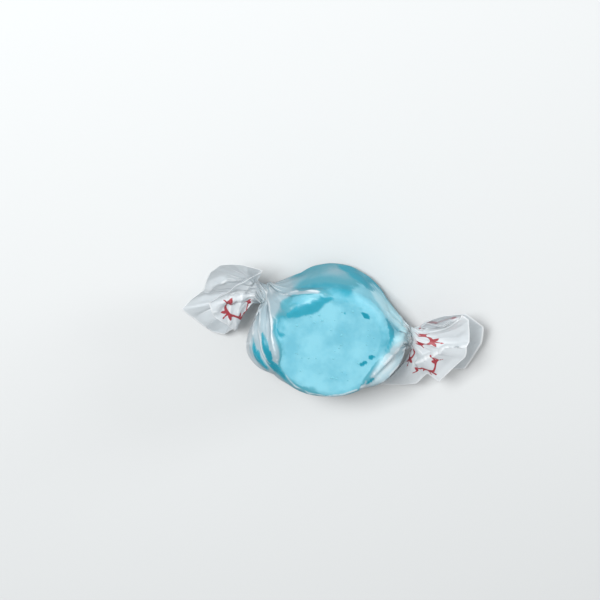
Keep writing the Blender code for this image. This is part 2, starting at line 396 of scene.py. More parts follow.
# %% Tight paper round the candy
CONTACT = 0.05
WALL_SLACK = 0.75
WALL_LEVEL = -0.15
WALL_SPREAD = 0.42
SKIRT_LIFT = 3.2
SKIRT_ANGLE = math.radians(176)
SKIRT_ABOVE = 0.40
SKIRT_BELOW = 0.80
SKIRT_START = 6.0
SKIRT_RUN = 16.0
HALVINGS = 30


def ramp(value, start, run):
    """0 up to the start and 1 from a run further on; a negative run goes the other way."""
    return np.clip((value - start) / run, 0.0, 1.0)


def wall_slack(x, angle):
    """Loose paper over the candy's side wall, most of it left of the middle."""
    slack = np.exp(-((np.sin(angle) - WALL_LEVEL) / WALL_SPREAD) ** 2) * np.clip(np.cos(angle), 0.0, 1.0)
    return WALL_SLACK * slack * np.clip(1.0 - (x - 1.0) / 6.0, 0.15, 1.0)


def skirt(x, angle):
    """The pouch pulls the paper off the candy's edge on its own side."""
    beyond = angle % (2 * np.pi) - SKIRT_ANGLE
    side = np.exp(-(beyond / np.where(beyond < 0.0, SKIRT_ABOVE, SKIRT_BELOW)) ** 2)
    return SKIRT_LIFT * side * ramp(x, SKIRT_START, -SKIRT_RUN) ** 1.3


def body_ring(x, angle):
    """Section of the tight paper round the candy at a distance x from its middle."""
    low = np.zeros_like(angle)
    high = np.full_like(angle, 3.0 * CANDY_RADIUS)
    lift = CONTACT + wall_slack(x, angle) + skirt(x, angle)
    for _ in range(HALVINGS):
        reach = 0.5 * (low + high)
        inside = outside_candy(x, reach * np.cos(angle), reach * np.sin(angle)) < lift
        low = np.where(inside, reach, low)
        high = np.where(inside, high, reach)
    return np.stack([np.full_like(angle, x), reach * np.cos(angle), reach * np.sin(angle)], axis=1)


full_turn = SEAM_ANGLE + np.linspace(0.0, 2 * np.pi, 1441)
middle_ring = body_ring(0.0, full_turn)
ring_steps = np.linalg.norm(np.diff(middle_ring, axis=0), axis=1)
SHEET_AROUND = ring_steps.sum()
print("round the candy, mm:", round(SHEET_AROUND, 1), "overlap, mm:", round(OVERLAP * SHEET_AROUND, 1))

# %% [markdown]
# Even angles would bunch the columns at the candy's corners. The columns share out the paper
# instead: each stands at the angle where its part of the ring's length ends.

# %% Columns by length
def angles_by_length(fractions):
    """Angles round the middle ring that share out the paper evenly along its section."""
    length = np.concatenate([[0.0], np.cumsum(ring_steps)])
    turns = np.floor(fractions)
    return np.interp((fractions - turns) * length[-1], length, full_turn) + turns * 2 * np.pi


body_angle = angles_by_length(share)
print("columns:", COLUMNS, "one every", round(SHEET_AROUND * (share[1] - share[0]), 3), "mm")

# %% [markdown]
# Past the candy the tube narrows to a neck about four millimetres thick, and all the width of the
# sheet has to go into it. It folds into pleats: a few main ones, and between them small uneven
# ones. Both are zigzags round the ring, because folded paper has straight sides and sharp edges,
# where a sine wave would look like cloth.

# %% Waves for the pleats
FOLD_SHARPNESS = 0.985


def smooth_noise(angle, seed, count=4):
    """A smooth wave round the tube, between about -1 and 1."""
    rng = np.random.default_rng(seed)
    total = np.zeros_like(angle)
    for order in range(1, count + 1):
        total += rng.uniform(0.4, 1.0) * np.sin(order * angle + rng.uniform(0, 2 * np.pi))
    return total / count


def zigzag(phase):
    """A pleat wave: straight sides and nearly sharp folds, between -1 and 1."""
    return np.arcsin(FOLD_SHARPNESS * np.sin(phase)) / (np.pi / 2)


def fine_pleats(angle):
    """Small pleats between the main ones, uneven in width."""
    first = zigzag(19 * angle + 1.5 * smooth_noise(angle, SEED + 20))
    second = zigzag(31 * angle + 2.0 * smooth_noise(angle, SEED + 21))
    return 0.6 * first + 0.4 * second


small_wave = fine_pleats(even_angle)
print("fine pleats, lowest and highest:", small_wave.min().round(2), small_wave.max().round(2))

# %% [markdown]
# Each neck is a short twisted tube that swells a little at both ends. Its rings turn as they go
# along, which lays the pleats round it like the strands of a rope. A Screw modifier would make
# both ends alike, but the right twist is neater than the left one, so its folds are shallower.

# %% Necks
LEFT_NECK = (-17.1, 3.0, -3.0)
RIGHT_NECK = (17.3, 1.9, -3.0)
NECK_RADIUS = 2.2
NECK_LENGTH = 2.6
PLEATS = 8
NECK_SWELL = 0.30
NECK_FOLD = 0.12
NECK_FINE_FOLD = 0.08
NECK_SQUEEZE = 0.13
NECK_SKEW = 0.10
NECK_TWIST = math.radians(70.0)
SHOULDER_TWIST = math.radians(38.0)
CALM_NECK = 0.45


def fold_share(side):
    """How deep the folds of this end are: the left neck's in full, the right one's calmer."""
    return 1.0 if side < 0 else CALM_NECK


def neck_ring(centre, angle, slide, side):
    """A ring of the neck, slide running from 0 at the candy's end to 1 at the fan's."""
    turn = side * (SHOULDER_TWIST + slide * NECK_TWIST)
    swell = 1.0 + NECK_SWELL * (2.0 * slide - 1.0) ** 2
    wave = NECK_FOLD * zigzag(PLEATS * angle) + NECK_FINE_FOLD * fine_pleats(angle)
    reach = NECK_RADIUS * swell * (1.0 + fold_share(side) * wave - NECK_SQUEEZE)
    skew = NECK_SKEW * fold_share(side) * fine_pleats(angle + 0.05)
    x = centre[0] + side * NECK_LENGTH * (slide - 0.5)
    y = centre[1] + reach * np.cos(angle + turn + skew)
    z = centre[2] + reach * np.sin(angle + turn + skew)
    return np.stack([np.full_like(angle, x), y, z], axis=1)


for side, centre in ((-1, LEFT_NECK), (1, RIGHT_NECK)):
    waist = neck_ring(centre, even_angle, 0.5, side)
    print("neck width, mm:", np.ptp(waist[:, 1]).round(2), "height, mm:", np.ptp(waist[:, 2]).round(2))

# %% [markdown]
# From the candy's edge to the neck every column is a smooth curve with one point that bends it. On
# the left that point is pushed out and along, which makes the pouch; on the right the paper sags a
# little below the neck. Nothing may hang under the floor.

# %% Shoulder curves
BODY_HALF_LENGTH = 9.6
FLOOR_LEVEL = -CANDY_HALF_HEIGHT - 0.60
POUCH_OUT = 3.3
POUCH_ALONG = 6.6
POUCH_ANGLE = math.radians(186)
POUCH_WIDTH = 0.95
RIGHT_POUCH_SHARE = 0.5
SAG_ANGLE = math.radians(196)
SAG_WIDTH = 0.9
LEFT_LOOSE = 0.9
LEFT_REACH = 4.6
RIGHT_LOOSE = 0.4
RIGHT_REACH = 3.4
SAG_LOOSE = 1.2
SAG_REACH = 2.4


def swell_at(angle, centre, width):
    """A smooth swell round the tube, 1 at the centre angle and fading on both sides."""
    return np.exp(-((angle % (2 * np.pi) - centre) / width) ** 2)


def shoulder_curves(side, centre):
    """For each column: where it leaves the candy, the point that bends it, where the neck starts."""
    start = body_ring(side * BODY_HALF_LENGTH, body_angle)
    along = start - body_ring(side * (BODY_HALF_LENGTH - 0.2), body_angle)
    along /= np.linalg.norm(along, axis=1)[:, None]
    end = neck_ring(centre, even_angle, 0.0, side)
    away = np.stack([np.zeros_like(body_angle), np.cos(body_angle), np.sin(body_angle)], axis=1)
    pouch = swell_at(body_angle, POUCH_ANGLE, POUCH_WIDTH)
    sag = swell_at(body_angle, SAG_ANGLE, SAG_WIDTH)
    if side < 0:
        loose = LEFT_LOOSE
        reach = LEFT_REACH
    else:
        pouch = pouch * RIGHT_POUCH_SHARE
        loose = RIGHT_LOOSE + SAG_LOOSE * sag
        reach = (RIGHT_REACH + SAG_REACH * sag)[:, None]
    loose = loose + 0.4 * smooth_noise(body_angle, SEED + 3 + side)
    middle = start + along * reach + away * (loose + POUCH_OUT * pouch)[:, None]
    middle[:, 0] += side * POUCH_ALONG * pouch
    middle[:, 2] = np.maximum(middle[:, 2], FLOOR_LEVEL + 0.3)
    return start, middle, end


pouch_bend = shoulder_curves(-1, LEFT_NECK)[1].min(axis=0)
print("the pouch is bent out to, mm:", pouch_bend.round(1))

# %% [markdown]
# The pleats start flat at the candy, are deepest half way along the shoulder and crowd together at
# the neck. On the underside they are shallow, because the candy's weight presses the paper flat.

# %% Shoulders
SHOULDER_ROWS = 24
PLEAT_DEPTH = 2.53
SMALL_PLEAT_DEPTH = 0.30
GATHER_DEPTH = 0.231


def between(start, middle, end, slide):
    """A point on the smooth curve from start to end that the middle point bends."""
    return (1 - slide) ** 2 * start + 2 * slide * (1 - slide) * middle + slide ** 2 * end


def shoulder_rings(side, centre):
    curve = shoulder_curves(side, centre)
    depth = fold_share(side)
    flat_below = 1.0 - np.clip(-1.2 * np.sin(body_angle), 0.0, 0.9)
    wave = zigzag(PLEATS * even_angle) - 0.2
    rings = []
    for row in range(1, SHOULDER_ROWS):
        slide = row / SHOULDER_ROWS
        place = between(*curve, slide)
        spoke = place - np.array([0.0, centre[1], centre[2]]) * slide
        spoke[:, 0] = 0.0
        spoke /= np.linalg.norm(spoke, axis=1)[:, None]
        pleat = PLEAT_DEPTH * depth ** 0.4 * slide ** 1.1 * (1 - slide) * wave
        small = SMALL_PLEAT_DEPTH * depth * slide ** 2 * (1 - slide) ** 0.7 * (small_wave - 0.2)
        gather = GATHER_DEPTH * depth * slide ** 4 * small_wave
        rings.append(place + spoke * ((pleat + small) * flat_below + gather)[:, None])
    return rings


print("shoulder rings on each side:", SHOULDER_ROWS - 1)

# %% [markdown]
# Beyond the twist the paper springs open. Its free edge is cut straight, so its length is fixed,
# and it winds through corners, dips and folds. A few corners, listed along the edge as it shows,
# set the outline of each fan. The edge runs nearly straight from one to the next.

# %% Corners of the fans
LEFT_RIM = (
    (-19.1, 12.8, 7.6), (-20.6, 10.9, 7.4), (-22.0, 8.8, 7.0), (-23.8, 6.5, 6.0), (-27.6, 0.9, 4.2),
    (-25.9, -2.7, 2.2), (-23.7, -4.2, 0.8), (-20.4, -6.2, -2.0), (-20.9, -8.3, -4.4),
    (-21.8, -10.0, -5.6), (-24.2, -10.8, -6.8), (-28.0, -9.5, -7.2), (-32.4, -6.8, -6.2),
    (-29.3, 0.5, -2.2), (-29.3, 4.4, 0.8), (-29.1, 7.5, 3.0), (-27.6, 10.2, 4.4), (-22.8, 12.4, 6.2),
)
RIGHT_RIM = (
    (18.3, 8.6, 2.8), (22.0, 9.4, 4.0), (24.6, 13.7, 4.6), (26.8, 12.7, 4.2),
    (28.7, 7.0, 3.4), (29.2, 3.1, 2.4), (26.1, -5.4, 0.4), (23.4, -4.2, -0.6),
    (22.2, -8.8, -2.8), (19.4, -10.8, -4.4), (15.0, -13.0, -6.4), (19.2, -10.1, -7.3),
    (26.2, -6.2, -7.2), (32.3, -3.8, -6.4), (33.5, 3.8, -4.6), (32.2, 8.6, -3.0),
    (26.9, 11.5, -0.6), (22.2, 10.7, 1.2),
)
CORNER_SHARPNESS = 0.8
STEPS_BETWEEN_CORNERS = 16


def edge_stretch(before, here, after, later, slide):
    """A point between two corners of the edge: nearly straight, and slightly rounded."""
    curve = 0.5 * (
        2 * here + (after - before) * slide
        + (2 * before - 5 * here + 4 * after - later) * slide ** 2
        + (3 * here - before - 3 * after + later) * slide ** 3)
    straight = here + (after - here) * slide
    return curve * (1 - CORNER_SHARPNESS) + straight * CORNER_SHARPNESS


def rim_loop(corners, offset):
    """The free edge as a closed curve, shared out evenly between the columns."""
    points = np.array(corners, dtype=float)
    dense = []
    for index in range(len(points)):
        near = [points[(index + step) % len(points)] for step in (-1, 0, 1, 2)]
        for step in range(STEPS_BETWEEN_CORNERS):
            dense.append(edge_stretch(*near, step / STEPS_BETWEEN_CORNERS))
    dense = np.array(dense + [dense[0]])
    length = np.concatenate([[0.0], np.cumsum(np.linalg.norm(np.diff(dense, axis=0), axis=1))])
    wanted = ((even_angle / (2 * np.pi) + offset) % 1.0) * length[-1]
    print("edge length, mm:", round(length[-1], 1))
    return np.stack([np.interp(wanted, length, dense[:, axis]) for axis in range(3)], axis=1)


print("corners:", len(LEFT_RIM), "on the left,", len(RIGHT_RIM), "on the right")

# %% [markdown]
# Each column of a fan runs from the neck to its place on the edge. It first goes straight out of
# the twist and then swings over to the edge, and creases widen along it on the way. A flat fan of
# faces would be quicker, but the real paper leaves the twist along its axis and then opens.

# %% Fans
FAN_ROWS = 34
ROW_SPREAD = 0.9
CREASES = 9
CREASE_DEPTH = 0.10
LEAD_ALONG = 0.30
LEAD_FROM_HUB = 1.1
LEAD_TO_EDGE = 0.22
LEFT_SWING = (0.0, -1.6, 0.2)
RIGHT_SWING = (0.0, -0.8, 0.6)
SWING_WIDTH = 0.45


def fan_lead(side, start, rim, turn):
    """The point that bends each column of a fan."""
    hub = start.mean(axis=0)
    reach = np.linalg.norm(rim - hub, axis=1)
    push = LEAD_ALONG * reach * np.clip(side * (rim[:, 0] - hub[0]) / 7.0, 0.12, 1.0)
    lead = hub + np.array([side, 0.0, 0.0]) * push[:, None]
    lead = lead + LEAD_FROM_HUB * (start - hub) + LEAD_TO_EDGE * (rim - hub)
    swing = np.exp(-((np.cos(even_angle + turn) + 1.0) / SWING_WIDTH) ** 2)
    return lead + swing[:, None] * np.array(LEFT_SWING if side < 0 else RIGHT_SWING)


def fan_rings(side, centre, corners):
    turn = side * (SHOULDER_TWIST + NECK_TWIST)
    start = neck_ring(centre, even_angle, 1.0, side)
    rim = rim_loop(corners, turn / (2 * np.pi))
    lead = fan_lead(side, start, rim, turn)
    spoke = rim - start.mean(axis=0)
    reach = np.linalg.norm(spoke, axis=1)
    crease = zigzag(CREASES * even_angle + 2.2 * smooth_noise(even_angle, SEED + 30 + side))
    facing = np.cross(np.gradient(rim, axis=0), spoke)
    facing /= np.linalg.norm(facing, axis=1)[:, None]
    rings = []
    for row in range(1, FAN_ROWS + 1):
        slide = (row / FAN_ROWS) ** ROW_SPREAD
        depth = CREASE_DEPTH * reach * slide * (1.02 - slide) ** 0.7 * crease
        rings.append(between(start, lead, rim, slide) + facing * depth[:, None])
    return rings


# %% [markdown]
# The rings are stacked into one grid: fan, neck, shoulder, body, shoulder, neck, fan. The mean
# distance from ring to ring gives the length of the real flat sheet.

# %% Stacking the rings
BODY_ROWS = 46
NECK_ROWS = 8


def half_tube(side, centre, corners):
    rings = shoulder_rings(side, centre)
    for row in range(NECK_ROWS):
        rings.append(neck_ring(centre, even_angle, row / (NECK_ROWS - 1), side))
    return rings + fan_rings(side, centre, corners)


left_rings = half_tube(-1, LEFT_NECK, LEFT_RIM)[::-1]
right_rings = half_tube(1, RIGHT_NECK, RIGHT_RIM)
middle_places = np.linspace(-BODY_HALF_LENGTH, BODY_HALF_LENGTH, BODY_ROWS)
grid = np.array(left_rings + [body_ring(x, body_angle) for x in middle_places] + right_rings)
ROWS = len(grid)
row_step = np.linalg.norm(np.diff(grid, axis=0), axis=2).mean(axis=1)
sheet_along = np.concatenate([[0.0], np.cumsum(row_step)])
sheet_around = share * SHEET_AROUND
SHEET_LENGTH = sheet_along[-1]
print("rows:", ROWS, "sheet length, mm:", round(SHEET_LENGTH, 1))

# %% [markdown]
# Waxed paper doesn't bend softly: it breaks into small flat facets with sharp creases between. A
# smooth noise would look like cloth. A random net of triangles over the unrolled sheet, with a
# random height at each corner, has just such facets. Each point of the paper looks up its height
# in three nets. The finest one only roughens the folds and the borders of the patches.

# %% Crumple nets
COARSE_FACET = 6.5
FINE_FACET = 2.3
GRAIN_FACET = 1.0
ABOVE_NET = 5.0


def triangle_net(facet, seed):
    """A bumpy net of random triangles, all about this size, over the flat sheet."""
    rng = np.random.default_rng(seed)
    across = np.arange(-2 * facet, SHEET_AROUND * (1 + OVERLAP) + 2 * facet, facet)
    down = np.arange(-2 * facet, SHEET_LENGTH + 2 * facet, facet)
    points = np.array([(x, y) for x in across for y in down])
    points += rng.uniform(-0.42, 0.42, points.shape) * facet
    height = rng.uniform(-1.0, 1.0, len(points))
    made = delaunay_2d_cdt([Vector(p) for p in points], [], [], 0, 1e-6)
    corners = [(p[0], p[1], height[original[0]]) for p, original in zip(made[0], made[3])]
    return BVHTree.FromPolygons(corners, [tuple(face) for face in made[2]])


def crumple_net(facet, seed):
    """Heights between -1 and 1 of flat facets about this size, for every point of the grid."""
    net = triangle_net(facet, seed)
    value = np.zeros((ROWS, COLUMNS))
    downwards = Vector((0.0, 0.0, -1.0))
    for row in range(ROWS):
        for column in range(COLUMNS):
            hit = net.ray_cast(Vector((sheet_around[column], sheet_along[row], ABOVE_NET)), downwards)
            value[row, column] = hit[0].z if hit[0] else 0.0
    return value


coarse = crumple_net(COARSE_FACET, SEED + 40)
fine = crumple_net(FINE_FACET, SEED + 41)
grain = crumple_net(GRAIN_FACET, SEED + 42)
print("crumple heights:", coarse.std().round(2), fine.std().round(2), grain.std().round(2))

# %% [markdown]
# Twisting pulls the paper into taut folds that run from each neck across the candy. Seen from the
# camera each is a thin bright line with a flat side on either hand. They are laid out as short
# chains of points on a plane that faces the camera, to the right and up from the candy's middle,
# each with its width and its height. Sculpting would do the same, but a chain is easy to change.

# %% Chains for the folds
BODY_FOLDS = (
    (((-13.0, 7.0), (-10.4, 7.2), (-8.7, 8.0), (-5.9, 8.3), (-3.2, 8.2), (-0.6, 7.6), (1.6, 6.8)),
     1.0, 0.62),
    (((-13.7, 8.2), (-12.8, 5.8), (-12.6, 2.2), (-12.8, -1.0), (-12.1, -4.7), (-11.4, -7.9),
      (-10.5, -10.2)), 0.9, 0.85),
    (((-15.5, 6.8), (-14.6, 3.6), (-15.1, 0.3), (-14.2, -3.8), (-12.3, -7.9), (-10.3, -10.6)), 0.9, 1.0),
    (((-17.0, 2.5), (-17.6, -0.3), (-17.0, -3.6), (-15.6, -6.0), (-13.0, -8.6), (-9.4, -11.6)), 0.9, 0.7),
    (((-17.0, 6.8), (-16.8, 2.7), (-16.6, -1.0), (-15.9, -4.0)), 0.9, 0.7),
    (((16.3, 0.6), (13.3, -2.8), (11.0, -6.0), (8.7, -9.2), (6.0, -12.2)), 1.0, 1.2),
    (((17.4, -0.1), (15.1, -3.8), (12.8, -7.4), (10.5, -10.2), (7.3, -12.2)), 1.1, 1.5),
    (((17.3, -1.6), (15.8, -5.6), (13.4, -9.2), (10.8, -11.6)), 0.8, 0.8),
    (((15.6, 1.7), (12.4, 3.6), (8.7, 6.8)), 1.5, 0.5),
    (((-11.0, -7.4), (-9.6, -9.7), (-7.8, -11.8), (-5.0, -13.4), (-1.3, -14.1), (2.3, -13.7),
      (5.1, -12.7), (7.8, -11.2), (10.1, -9.1), (11.6, -6.8)), 0.45, 0.18),
)
FAN_FOLDS = (
    (((-16.6, 11.6), (-18.3, 10.4), (-19.8, 7.1), (-21.0, 2.5), (-21.3, 0.5)), 1.4, 0.8),
    (((-30.5, 3.0), (-27.5, 4.0), (-25.0, 4.4)), 1.2, 0.4),
    (((22.5, 1.5), (26.0, 3.2), (30.0, 4.0)), 1.2, 0.5),
)
INNER_FOLDS = (
    (((-27.4, 8.0), (-25.7, 10.4), (-22.9, 11.5), (-18.8, 11.2)), 0.8, 0.9),
    (((-24.6, 7.6), (-22.6, 6.4), (-20.4, 4.8)), 0.7, 0.5),
)
TUCKS = (
    (((15.9, -8.0), (20.5, -5.7), (24.9, -3.3), (30.4, -2.6)), 1.5, 6.0),
    (((-22.6, 0.0), (-22.3, 4.2), (-22.0, 7.4)), 0.7, 3.0),
    (((17.8, 3.6), (22.0, 2.4), (26.5, 2.6), (30.2, 4.2)), 0.5, 3.5),
)


def chain_distance(flat, chain):
    """Distance of flat points from a chain, how far along it each is, and which side it is on."""
    best = np.full(len(flat), np.inf)
    along = np.zeros(len(flat))
    right_side = np.zeros(len(flat), dtype=bool)
    chain = np.array(chain)
    for index in range(len(chain) - 1):
        start, span = chain[index], chain[index + 1] - chain[index]
        slide = np.clip(((flat - start) @ span) / (span @ span), 0.0, 1.0)
        gap = np.linalg.norm(flat - start - slide[:, None] * span, axis=1)
        closer = gap < best
        turn = span[0] * (flat[:, 1] - start[1]) - span[1] * (flat[:, 0] - start[0])
        best = np.where(closer, gap, best)
        along = np.where(closer, (index + slide) / (len(chain) - 1), along)
        right_side = np.where(closer, turn < 0.0, right_side)
    return best, along, right_side


print("folds:", len(BODY_FOLDS), "on the body,", len(FAN_FOLDS + INNER_FOLDS + TUCKS), "on the ends")

# %% [markdown]
# A fold lifts the paper like a tent: highest along its chain, flat on both sides. A tuck is lifted
# on one side only and drops in a step on the other. The crest of each fold is kept too, broken
# here and there by the finest net, because a painted highlight is drawn along it later on.

# %% Shapes of the folds
CREST_WIDTH = 0.26
CREST_ROUNDING = 0.22
TUCK_STEP = 0.35


def crest_line(gap, strength):
    return strength * np.exp(-(gap / CREST_WIDTH) ** 2)


def ridge_folds(flat, broken):
    """Lift and crest of the folds that stand off the outside."""
    lift = np.zeros(len(flat))
    crest = np.zeros(len(flat))
    for folds, ends_softly in ((BODY_FOLDS, True), (FAN_FOLDS, False)):
        for chain, width, height in folds:
            gap, along, _ = chain_distance(flat, chain)
            taper = ramp(along, -0.05, 1 / 6)
            if ends_softly:
                taper = taper * ramp(along, 1.0, -1 / 3)
            rounded = np.hypot(gap, CREST_ROUNDING) - CREST_ROUNDING
            lift = np.maximum(lift, height * taper * np.clip(1.0 - rounded / width, 0.0, 1.0))
            crest = np.maximum(crest, crest_line(gap, taper * broken))
    return lift, crest


def tuck_folds(flat, lift, crest):
    """The same with the tucks added, each with its height and the run of its long side."""
    for chain, height, run in TUCKS:
        gap, along, right_side = chain_distance(flat, chain)
        taper = ramp(along, 0.0, 1 / 4)
        slope = np.clip(1.0 - gap / np.where(right_side, run, TUCK_STEP), 0.0, 1.0)
        lift = np.maximum(lift, height * taper * slope)
        crest = np.maximum(crest, crest_line(gap, taper))
    return lift, crest


def inner_folds(flat, broken):
    """Lift and crest of the folds inside the left fan."""
    lift = np.zeros(len(flat))
    crest = np.zeros(len(flat))
    for chain, width, height in INNER_FOLDS:
        gap, along, _ = chain_distance(flat, chain)
        taper = np.sin(np.pi * np.clip(along, 0.0, 1.0)) ** 0.5
        lift = np.maximum(lift, height * taper * np.clip(1.0 - gap / width, 0.0, 1.0))
        crest = np.maximum(crest, crest_line(gap, taper * broken))
    return lift, crest


# %% [markdown]
# The lift works only on paper that the camera sees, so that a fold on the top doesn't come out
# again on the underside. The outside is lifted outwards, and the inside of a fan inwards.

# %% Taut folds
BODY_END = 16.5
FAN_START = 19.5
UNDERSIDE = -4.0


def grid_normals(grid):
    facing = np.cross(np.gradient(grid, axis=1), np.gradient(grid, axis=0))
    return facing / np.maximum(np.linalg.norm(facing, axis=2), 1e-9)[:, :, None]


def seen_flat(grid):
    """Every point's place on the plane that faces the camera: to the right, and up."""
    return np.stack([grid @ to_right, grid @ to_top], axis=2).reshape(-1, 2)


def lift_folds(grid):
    facing = grid_normals(grid)
    flat = seen_flat(grid)
    reach = np.abs(grid[:, :, 0])
    body = (reach < BODY_END) & (grid[:, :, 2] > UNDERSIDE)
    outside = np.clip((facing @ to_camera) * 3.0, 0.0, 1.0) * (body | (reach > FAN_START))
    inside = np.clip(-3.0 * (facing @ to_camera), 0.0, 1.0) * (reach > FAN_START)
    broken = np.clip(0.75 + 0.7 * grain.ravel() + 0.3 * fine.ravel(), 0.0, 1.0)
    lift, crest = tuck_folds(flat, *ridge_folds(flat, broken))
    inner_lift, inner_crest = inner_folds(flat, broken)
    rise = lift.reshape(reach.shape) * outside - inner_lift.reshape(reach.shape) * inside
    seen_crest = np.maximum(crest.reshape(reach.shape) * outside, inner_crest.reshape(reach.shape) * inside)
    return grid + facing * rise[:, :, None], seen_crest


grid, crest = lift_folds(grid)
print("share of the paper on a crest:", (crest > 0.5).mean().round(3))

# %% [markdown]
# The facets are added last, each net at its own depth: deep on the open fans, less on the
# shoulders, and hardly any over the candy, where the paper is tight. Where the columns crowd into
# the twist there is no open paper left to crumple. The free edge stays calmer than the rest.

# %% Crumpling the sheet
FAN_CRUMPLE = (0.60, 0.06)
SHOULDER_CRUMPLE = (0.45, 0.16)
BODY_CRUMPLE = (0.03, 0.015)
EDGE_CALM = 2.5
TIGHT_FACE = 11.0
SHOULDER_START = 5.0
SHOULDER_END = 16.6


def crumpled(grid):
    facing = grid_normals(grid)
    reach = np.abs(grid[:, :, 0])
    edge = np.minimum(sheet_along, SHEET_LENGTH - sheet_along)[:, None]
    fan = ramp(reach, FAN_START, 4.0) * (0.3 + 0.7 * ramp(edge, 0.0, EDGE_CALM))
    off_face = ramp(np.hypot(grid[:, :, 0], grid[:, :, 1]), TIGHT_FACE, 1.5)
    shoulder = off_face * np.maximum(ramp(reach, SHOULDER_START, 4.0), 0.25) * ramp(reach, SHOULDER_END, -2.5)
    spacing = np.linalg.norm(np.gradient(grid, axis=1), axis=2)
    open_paper = np.clip(spacing / (SHEET_AROUND * (share[1] - share[0])), 0.12, 1.0)
    coarse_depth, fine_depth = (
        fan * on_fan + shoulder * on_shoulder + on_body
        for on_fan, on_shoulder, on_body in zip(FAN_CRUMPLE, SHOULDER_CRUMPLE, BODY_CRUMPLE))
    rise = (coarse * coarse_depth + fine * fine_depth) * open_paper
    return grid + facing * rise[:, :, None]


grid = crumpled(grid)
print("crumpled paper, mm:", np.ptp(grid.reshape(-1, 3), axis=0).round(2))

# %% [markdown]
# Two things of the real wrap remain. The overlapping edge lies on top of the other one, so its
# last columns are lifted clear of it. And no paper is inside the candy or under the floor. A
# Shrinkwrap modifier could see to that, but the candy's form is known, so a point that got there
# is moved out by its exact depth.

# %% Overlap and contact
OVERLAP_LIFT = 0.22
PROBE = 0.01


def off_candy(place):
    """Points that would be inside the candy, moved out onto it."""
    for _ in range(2):
        depth = outside_candy(*place.T)
        slope = np.stack([outside_candy(*(place + step).T) - depth for step in PROBE * np.eye(3)], axis=1)
        slope /= np.maximum(np.linalg.norm(slope, axis=1), 1e-6 * PROBE)[:, None]
        place = place + slope * np.maximum(CONTACT - depth, 0.0)[:, None]
    return place


overlap = np.clip((share - 1.0) / 0.01 + 0.5, 0.0, 1.0) * OVERLAP_LIFT
grid = grid + grid_normals(grid) * overlap[None, :, None]
place = off_candy(grid.reshape(-1, 3))
place[:, 2] = np.maximum(place[:, 2], FLOOR_LEVEL)
grid = place.reshape(ROWS, COLUMNS, 3)
print("lowest and highest paper, mm:", place.min(axis=0).round(2), place.max(axis=0).round(2))

# %% [markdown]
# The print on the paper is kept generic: sprigs of a running vine with leaf pairs and berries in
# red, in two bands near each end of the sheet. A sprig is a few strokes, each a chain of points
# with a half width, so it needs no picture file and can be drawn at any size.

# %% A sprig
SPRIG_LENGTH = 13.5
VINE_SWING = 0.8
CRESTS = 3
STEM = 0.34
STALK = 0.20
LEAF = 0.50
BERRY = 0.52


def sprig(start, level):
    """Strokes of one sprig as points and half width: a stem, and leaves and a berry on each crest."""
    t = np.linspace(0.0, 1.0, 24)
    stem = np.stack([start + SPRIG_LENGTH * t, level + VINE_SWING * np.sin(CRESTS * np.pi * t)], axis=1)
    strokes = [(stem, STEM)]
    for crest_number in range(CRESTS):
        up = 1.0 if crest_number % 2 == 0 else -1.0
        middle = start + SPRIG_LENGTH * (crest_number + 0.5) / CRESTS
        crown = level + VINE_SWING * up
        berry = crown + 2.1 * up
        for lean in (-1.0, 1.0):
            leaf = [(middle + 0.2 * lean, crown), (middle + 1.7 * lean, crown + 1.1 * up)]
            strokes.append((np.array(leaf), LEAF))
        strokes.append((np.array([(middle, crown), (middle, berry)]), STALK))
        strokes.append((np.array([(middle - 0.1, berry), (middle + 0.1, berry)]), BERRY))
    return strokes


print("strokes in a sprig:", len(sprig(0.0, 0.0)))

# %% [markdown]
# Each point of the paper stores its distance from the nearest stroke, so the material can draw the
# stroke with an edge that is sharper than the mesh. A band names its end of the sheet, its
# distance from the free edge and where round the sheet its sprigs start.

# %% Ornament
BANDS = (
    ("left", 4.2, (63.7,)),
    ("left", 9.3, (69.7,)),
    ("right", 4.2, (18.2, 63.7)),
    ("right", 9.3, (6.2, 27.4, 48.5, 69.7)),
)
BAND_REACH = 4.0
NO_INK = 9.0


def brush_width(along, half_width):
    """Half width of a stroke: thin where it starts and ends, full in the middle."""
    return half_width * (0.45 + 0.65 * np.sin(np.pi * along))


def ink_distance(flat, left_end):
    """Distance from the nearest stroke in brush half-widths: under 1 is inked."""
    best = np.full(len(flat), NO_INK)
    for end, level, starts in BANDS:
        in_band = (np.abs(flat[:, 1] - level) < BAND_REACH) & (left_end == (end == "left"))
        for stroke, half_width in (part for start in starts for part in sprig(start, level)):
            near = (flat[:, 0] > stroke[:, 0].min() - 2) & (flat[:, 0] < stroke[:, 0].max() + 2)
            close = in_band & near
            if close.any():
                gap, slide, _ = chain_distance(flat[close], stroke)
                best[close] = np.minimum(best[close], gap / brush_width(slide, half_width))
    return best


around, along = np.meshgrid(sheet_around, sheet_along)
around = around.ravel()
along = along.ravel()
from_edge = np.minimum(along, SHEET_LENGTH - along)
ink = ink_distance(np.stack([around, from_edge], axis=1), along < SHEET_LENGTH / 2)
print("inked share of the sheet:", (ink < 1.0).mean().round(3))
